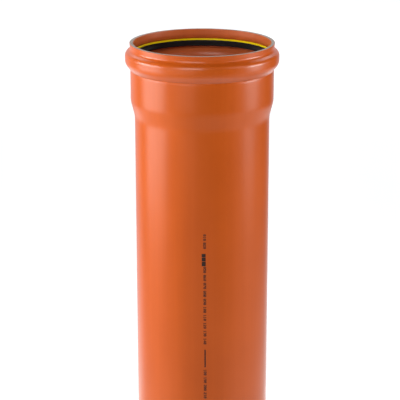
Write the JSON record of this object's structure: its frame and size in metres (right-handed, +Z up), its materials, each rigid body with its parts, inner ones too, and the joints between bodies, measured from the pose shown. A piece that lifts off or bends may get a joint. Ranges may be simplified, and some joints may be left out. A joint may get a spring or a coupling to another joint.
{
  "type": "sewer pipe",
  "caption": "Straight round plastic sewer pipe with a plain bevelled spigot end and a belled socket whose beaded mouth holds a rubber lip seal and its retaining ring.",
  "frame": {"origin": "centre of the spigot end, which the pipe stands on", "axes": "+Z up along the pipe's axis, from the spigot end to the socket's rim; the pipe is round, so X and Y are free and -Y is the side seen from the front"},
  "size_m": [0.1817, 0.1816, 0.57],
  "materials": {
    "pipe_pvc": "satin",
    "seal_rubber": "matte",
    "ring_plastic": "satin"
  },
  "bodies": {
    "root": {"pipe": "pipe_pvc", "lip_seal": "seal_rubber", "retaining_ring": "ring_plastic"}
  },
  "joints": []
}
